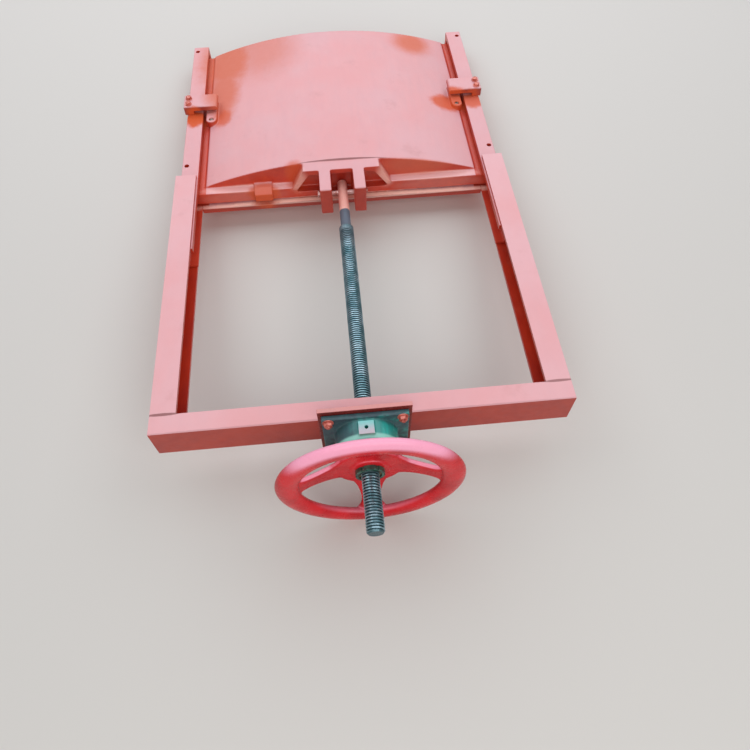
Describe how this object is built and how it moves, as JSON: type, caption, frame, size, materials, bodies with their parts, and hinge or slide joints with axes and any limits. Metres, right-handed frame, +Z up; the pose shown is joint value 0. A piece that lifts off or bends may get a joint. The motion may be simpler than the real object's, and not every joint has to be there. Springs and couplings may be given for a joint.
{
  "type": "sluice gate",
  "caption": "Cast sluice gate: an arched panel sliding in grooved rails, lifted by a screw stem with a handwheel on a channel yoke.",
  "frame": {"origin": "On the flat wall face of the frame, at the foot of the sill and in the middle of the waterway.", "axes": "+Z up along the stem, -Y the front that faces away from the wall, +X to the right as seen from the front."},
  "size_m": [0.74, 0.318, 1.369],
  "materials": {
    "iron_paint": "red oxide paint on cast iron and channel steel",
    "wheel_paint": "glossy red paint",
    "housing_paint": "glossy green paint",
    "stem_steel": "greased machined steel",
    "nut_bronze": "machined bronze",
    "ring_paint": "dark green paint"
  },
  "bodies": {
    "frame": {"rail_right": "iron_paint", "rail_left": "iron_paint", "bottom_sill": "iron_paint", "head_beam": "iron_paint", "wedge_bar_right": "iron_paint", "wedge_bar_left": "iron_paint", "yoke_side_right": "iron_paint", "yoke_side_left": "iron_paint", "yoke_crossbeam": "iron_paint", "base_plate": "wheel_paint", "operator_housing": "housing_paint", "oil_pad": "housing_paint"},
    "gate": {"gate_panel": "iron_paint", "panel_ribs": "iron_paint", "panel_flange_right": "iron_paint", "panel_flange_left": "iron_paint", "lifting_lug": "iron_paint", "lug_ears": "iron_paint", "rim_boss": "iron_paint", "wedge_boss_right": "iron_paint", "wedge_boss_left": "iron_paint", "stem": "stem_steel", "hanger_pin": "stem_steel"},
    "wheel": {"drive_nut": "nut_bronze", "handwheel": "wheel_paint", "ring_nut": "ring_paint"}
  },
  "joints": [
    {"name": "handwheel_turn", "type": "hinge", "parent": "frame", "child": "wheel", "pos_m": [0, -0.042, 1.252], "axis": [0, 0, 1], "range_deg": [0, 35280]},
    {"name": "gate_lift", "type": "slide", "parent": "frame", "child": "gate", "axis": [0, 0, 1], "range_m": [0, 0.49]}
  ],
  "couplings": [
    {"joint": "gate_lift", "follows": "handwheel_turn", "m_per_rad": 0.00079577}
  ]
}
